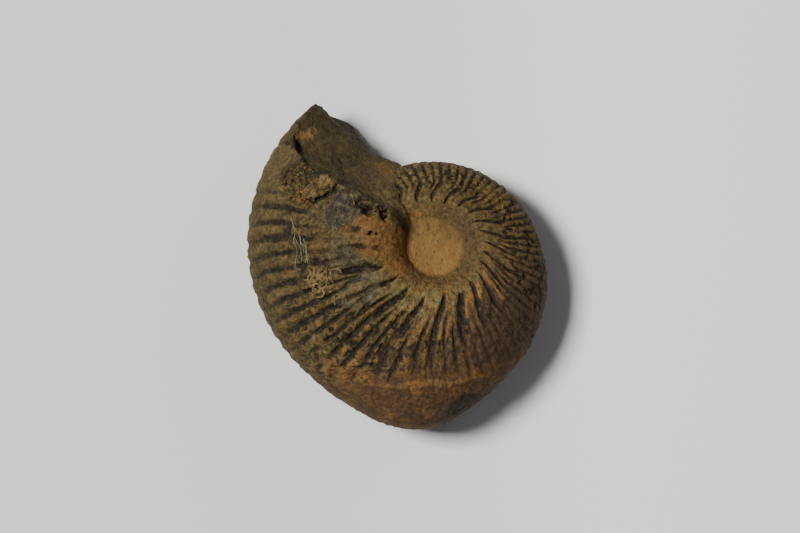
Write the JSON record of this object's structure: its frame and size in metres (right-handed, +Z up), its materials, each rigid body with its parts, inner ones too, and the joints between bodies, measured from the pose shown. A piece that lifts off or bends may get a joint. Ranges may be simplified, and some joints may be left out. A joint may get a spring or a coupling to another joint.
{
  "type": "hematite ammonite fossil",
  "caption": "Small coiled ammonite fossil replaced by iron minerals, with forking ribs, a sediment-filled umbilicus and a broken oblique aperture, lying on its side on a small flat spot.",
  "frame": {"origin": "middle of the footprint, on the surface that the fossil rests on", "axes": "+Z up, with the coiling axis leaning about 9 degrees from it towards +X; +Y towards the tip of the broken aperture, away from the limonite crust on the venter"},
  "size_m": [0.0274, 0.0302, 0.0147],
  "materials": {
    "iron_stone": "weathered brown-grey iron mineral, slightly metallic sheen in places, with limonite crust"
  },
  "bodies": {
    "root": {"ammonite": "iron_stone"}
  },
  "joints": []
}
